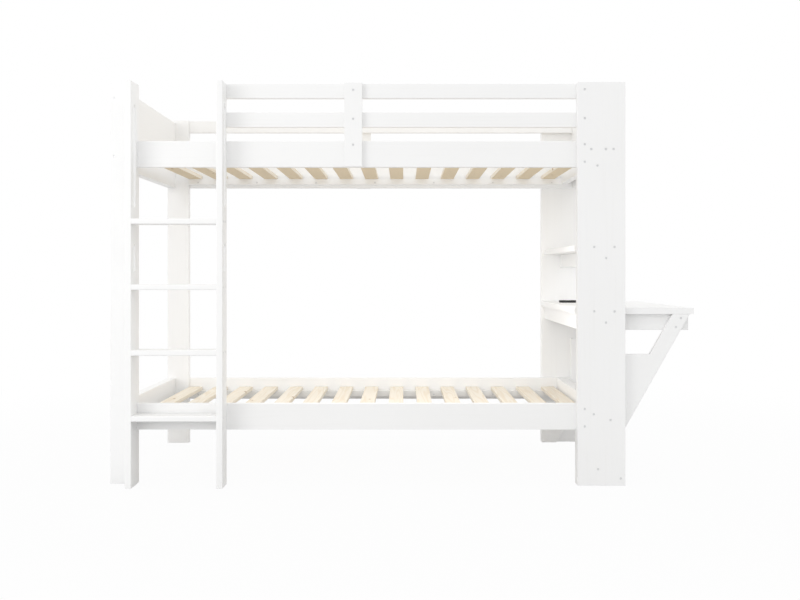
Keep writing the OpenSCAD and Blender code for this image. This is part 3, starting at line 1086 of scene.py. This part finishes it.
@dataclass
class Fasteners:
    """All screws, with real heads, and the dowels inside the joints."""

    frame: dict
    head_height: float = 0.003
    big_radii: Size = (0.0045, 0.0025)
    small_radii: Size = (0.0035, 0.002)
    near_rim: float = 0.9

    def build(self) -> None:
        """Builds the sets of screws and dresses the dowels."""
        for name in (
            "right_post_screws", "left_post_screws", "upright_screws", "ladder_screws",
            "stile_screws", "brace_screws",
        ):
            self._screws(name, *self.big_radii)
        for name in ("ledger_screws", "slat_screws"):
            self._screws(name, *self.small_radii)
        for name in ("rail_dowels", "end_dowels", "desk_dowels"):
            dowel = self.frame["nodes"][name]
            dowel.data.materials.clear()
            dowel.data.materials.append(DowelWood().material())
            log.info("%s: dressed as packed", name)

    def _screws(self, name: str, head_radius: float, shank_radius: float) -> None:
        """Puts a detailed screw in the place of each packed one.

        Args:
            name: The node of the screws.
            head_radius: The radius of their heads.
            shank_radius: The radius of their shanks.
        """
        packed = merged(self.frame["nodes"][name])
        target = bmesh.new()
        for verts in islands(packed):
            top, out, length = self._axis(verts, head_radius)
            turn = Vector((0, 0, 1)).rotation_difference(out).to_matrix().to_4x4()
            shape = ScrewShape(head_radius, self.head_height, shank_radius, length)
            shape.add_to(target, Matrix.Translation(top) @ turn)
        packed.free()
        bmesh.ops.recalc_face_normals(target, faces=target.faces)
        mesh = stored(name + "_turned", target)
        mark_faces(mesh, 0.0)
        new_piece(mesh.name, mesh, ScrewSteel(), BED, name)

    def _axis(self, verts: list[BMVert], head_radius: float) -> tuple[Vector, Vector, float]:
        """Finds where a packed screw is.

        Args:
            verts: The vertices of one packed screw.
            head_radius: The radius of its head.

        Returns:
            The middle of the head's top, the direction out of the wood, and the length.
        """
        low = Vector([min(v.co[i] for v in verts) for i in range(3)])
        high = Vector([max(v.co[i] for v in verts) for i in range(3)])
        axis = max(range(3), key=lambda i: (high - low)[i])
        middle = (low + high) / 2
        across = [i for i in range(3) if i != axis]
        head = [
            v.co[axis]
            for v in verts
            if math.dist([v.co[i] for i in across], [middle[i] for i in across])
            > self.near_rim * head_radius
        ]
        outwards = 1.0 if sum(head) / len(head) > middle[axis] else -1.0
        out = Vector([outwards if i == axis else 0.0 for i in range(3)])
        top = middle.copy()
        top[axis] = high[axis] if outwards > 0 else low[axis]
        return top, out, high[axis] - low[axis]


# ---- Studio ----


@dataclass(frozen=True)
class Panel:
    """A lamp like a lit sheet of cloth, which the eye doesn't see."""

    name: str
    place: tuple[float, float, float]
    aim: tuple[float, float, float]
    size: Size
    power: float
    reflected: bool = True

    def build(self) -> None:
        """Hangs the lamp."""
        lamp = bpy.data.lights.new(self.name, "AREA")
        lamp.shape = "RECTANGLE"
        lamp.size, lamp.size_y = self.size
        lamp.energy = self.power
        holder = scene_object(self.name, lamp)
        holder.location = self.place
        towards = Vector(self.aim) - Vector(self.place)
        holder.rotation_euler = towards.to_track_quat("-Z", "Y").to_euler()
        holder.visible_camera = False
        holder.visible_glossy = self.reflected


@dataclass(frozen=True)
class Camera:
    """The camera at the photograph's place: level, square to the bed's front."""

    place: tuple[float, float, float] = (0.006, -4.673, 0.8493)
    lens: float = 46.575
    shift: tuple[float, float] = (-0.0044, -0.0332)
    sensor_width: float = 36.0
    far: float = 100.0

    def build(self) -> None:
        """Sets the camera up."""
        data = bpy.data.cameras.new("camera")
        data.sensor_width = self.sensor_width
        data.lens = self.lens
        data.shift_x, data.shift_y = self.shift
        data.clip_end = self.far
        camera = scene_object("camera", data)
        camera.location = self.place
        camera.rotation_euler = (math.radians(90), 0, 0)
        bpy.context.scene.camera = camera


@dataclass
class Studio:
    """A pale floor, an even white surround, a wide lamp at the left and a weak one in the bunk."""

    ambient: float = 1.10
    floor_bounce: float = 0.60
    floor_reach: float = 60.0
    floor_white: float = 0.96
    shadow_fade: tuple[float, float] = (1.6, 4.0)
    lamps: tuple[Panel, ...] = (
        Panel(
            name="key", place=(-3.2, -4.0, 1.6), aim=(-1.1, -0.5, 0.8), size=(2.2, 2.2), power=33.0
        ),
        Panel(
            name="bunk_fill", place=(0.05, -0.42, 0.8), aim=(0.05, 0.5, 0.5), size=(1.3, 0.5),
            power=2.8, reflected=False,
        ),
    )

    @staticmethod
    def _seen_directly(graph: Graph) -> Signal:
        """Tells what is seen from the light that falls on the bed.

        Args:
            graph: The graph to add to.

        Returns:
            1 where the eye, a reflection or a clear body looks, and 0 for light on the bed.
        """
        rays = [
            graph.node("ShaderNodeLightPath", output=name)
            for name in ("Is Camera Ray", "Is Glossy Ray", "Is Transmission Ray")
        ]
        return (rays[0] + rays[1] + rays[2]).ramp(0.0, 1.0)

    def _surround(self) -> None:
        """Makes the world white to the eye and a little brighter as light."""
        world = bpy.data.worlds.new("surround")
        world.use_nodes = True
        graph = Graph(world.node_tree)
        strength = self.ambient + self._seen_directly(graph) * (1.0 - self.ambient)
        white = graph.node("ShaderNodeBackground", {}, {"Color": WHITE, "Strength": strength})
        graph.node("ShaderNodeOutputWorld", {}, {"Surface": white})
        bpy.context.scene.world = world

    def _floor(self) -> None:
        """Lays the floor, which shows a faint shadow on white."""
        work = bmesh.new()
        bmesh.ops.create_grid(work, x_segments=1, y_segments=1, size=self.floor_reach)
        floor = scene_object("floor", stored("floor", work))
        material = bpy.data.materials.new("floor")
        material.use_nodes = True
        graph = Graph(material.node_tree)
        grey = (self.floor_bounce, self.floor_bounce, self.floor_bounce, 1.0)
        matte = graph.node("ShaderNodeBsdfDiffuse", {}, {"Color": grey})
        white = graph.node("ShaderNodeEmission", {}, {"Color": WHITE, "Strength": 1.0})
        away = graph.node(
            "ShaderNodeVectorMath", {"operation": "LENGTH"}, {0: graph.object_place()}, "Value"
        ).ramp(*self.shadow_fade)
        shown = self.floor_white + away * (1.0 - self.floor_white)
        blend = graph.node(
            "ShaderNodeMixShader", {}, {0: self._seen_directly(graph) * shown, 1: matte, 2: white}
        )
        graph.node("ShaderNodeOutputMaterial", {}, {"Surface": blend})
        floor.data.materials.append(material)

    def build(self) -> None:
        """Sets up the surround, the floor and the lamps."""
        self._surround()
        self._floor()
        for lamp in self.lamps:
            lamp.build()
        bpy.context.scene.view_settings.view_transform = "Standard"


def main() -> None:
    """Loads the frame, dresses every sub-assembly and lights the scene."""
    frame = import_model()
    for assembly in (
        Posts(frame), Bunks(frame), SlatDecks(frame), Ladder(frame), Desk(frame), Shelf(frame),
        Grommet(frame), Fasteners(frame),
    ):
        assembly.build()
    Camera().build()
    Studio().build()


if __name__ == "__main__":
    logging.basicConfig(level=logging.INFO, format="%(message)s")
    main()
